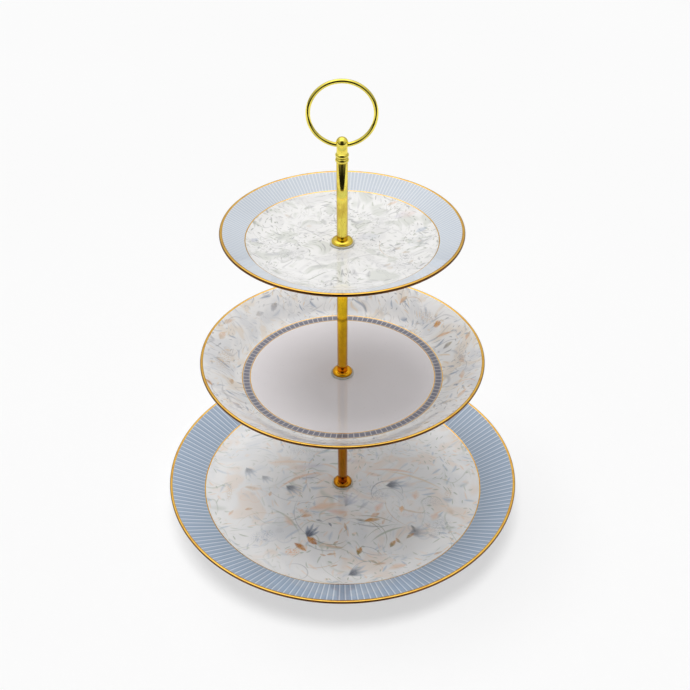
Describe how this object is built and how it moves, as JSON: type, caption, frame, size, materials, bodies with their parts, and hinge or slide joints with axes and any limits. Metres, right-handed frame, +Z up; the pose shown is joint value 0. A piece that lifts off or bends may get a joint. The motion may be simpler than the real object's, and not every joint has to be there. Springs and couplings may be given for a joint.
{
  "type": "tiered cake stand",
  "caption": "Tiered cake stand: round porcelain plates with sloping rims, clamped at rising heights on a slim screwed brass column with an upright ring handle on top.",
  "frame": {"origin": "on the column's axis, at the flat bottom of the bottom plate's foot ring", "axes": "+Z up along the column, towards the ring handle; the ring handle lies in the XZ plane and faces -Y"},
  "size_m": [0.26, 0.26, 0.3329],
  "materials": {
    "bottom_porcelain": "clear glaze over a printed pattern, gold lines",
    "middle_porcelain": "clear glaze over a printed pattern, gold lines",
    "top_porcelain": "clear glaze over a printed pattern, gold lines",
    "polished_gold": "polished gold plating",
    "collar_gold": "polished gold plating",
    "handle_gold": "polished gold plating",
    "insert_brass": "turned brass",
    "thread_steel": "zinc-plated steel",
    "gasket_plastic": "soft translucent white plastic"
  },
  "bodies": {
    "base": {"bottom_plate": "bottom_porcelain", "bottom_gasket_lower": "gasket_plastic", "bottom_gasket_upper": "gasket_plastic"},
    "lower_column": {"lower_rod": "polished_gold", "lower_rod_foot_insert": "insert_brass", "lower_rod_head_insert": "insert_brass", "base_screw": "thread_steel", "base_washer": "insert_brass", "bottom_collar": "collar_gold", "middle_collar_lower": "collar_gold"},
    "middle_tier": {"middle_plate": "middle_porcelain", "middle_gasket_lower": "gasket_plastic", "middle_gasket_upper": "gasket_plastic", "middle_collar_upper": "collar_gold"},
    "middle_screw": {"middle_stud": "thread_steel"},
    "middle_column": {"middle_rod": "polished_gold", "middle_rod_foot_insert": "insert_brass", "middle_rod_head_insert": "insert_brass", "top_collar_lower": "collar_gold"},
    "top_tier": {"top_plate": "top_porcelain", "top_gasket_lower": "gasket_plastic", "top_gasket_upper": "gasket_plastic", "top_collar_upper": "collar_gold"},
    "top_screw": {"top_stud": "thread_steel"},
    "top_column": {"top_rod": "polished_gold", "top_rod_foot_insert": "insert_brass", "top_rod_head_insert": "insert_brass"},
    "handle_screw": {"handle_stud": "thread_steel"},
    "handle": {"finial": "handle_gold", "ring_handle": "handle_gold"}
  },
  "joints": [
    {"name": "column_turn", "type": "hinge", "parent": "base", "child": "lower_column", "pos_m": [0, 0, 0], "axis": [0, 0, 1], "continuous": true},
    {"name": "middle_plate_turn", "type": "hinge", "parent": "lower_column", "child": "middle_tier", "pos_m": [0, 0, 0], "axis": [0, 0, 1], "continuous": true},
    {"name": "middle_rod_lift", "type": "slide", "parent": "lower_column", "child": "middle_screw", "axis": [0, 0, 1], "range_m": [0, 0.007]},
    {"name": "middle_rod_unscrew", "type": "hinge", "parent": "middle_screw", "child": "middle_column", "pos_m": [0, 0, 0], "axis": [0, 0, 1], "range_deg": [0, 3600]},
    {"name": "top_plate_turn", "type": "hinge", "parent": "middle_column", "child": "top_tier", "pos_m": [0, 0, 0], "axis": [0, 0, 1], "continuous": true},
    {"name": "top_rod_lift", "type": "slide", "parent": "middle_column", "child": "top_screw", "axis": [0, 0, 1], "range_m": [0, 0.007]},
    {"name": "top_rod_unscrew", "type": "hinge", "parent": "top_screw", "child": "top_column", "pos_m": [0, 0, 0], "axis": [0, 0, 1], "range_deg": [0, 3600]},
    {"name": "handle_lift", "type": "slide", "parent": "top_column", "child": "handle_screw", "axis": [0, 0, 1], "range_m": [0, 0.007]},
    {"name": "handle_unscrew", "type": "hinge", "parent": "handle_screw", "child": "handle", "pos_m": [0, 0, 0], "axis": [0, 0, 1], "range_deg": [0, 3600]}
  ],
  "couplings": [
    {"joint": "middle_rod_unscrew", "follows": "middle_rod_lift", "rad_per_m": 8976},
    {"joint": "top_rod_unscrew", "follows": "top_rod_lift", "rad_per_m": 8976},
    {"joint": "handle_unscrew", "follows": "handle_lift", "rad_per_m": 8976}
  ]
}
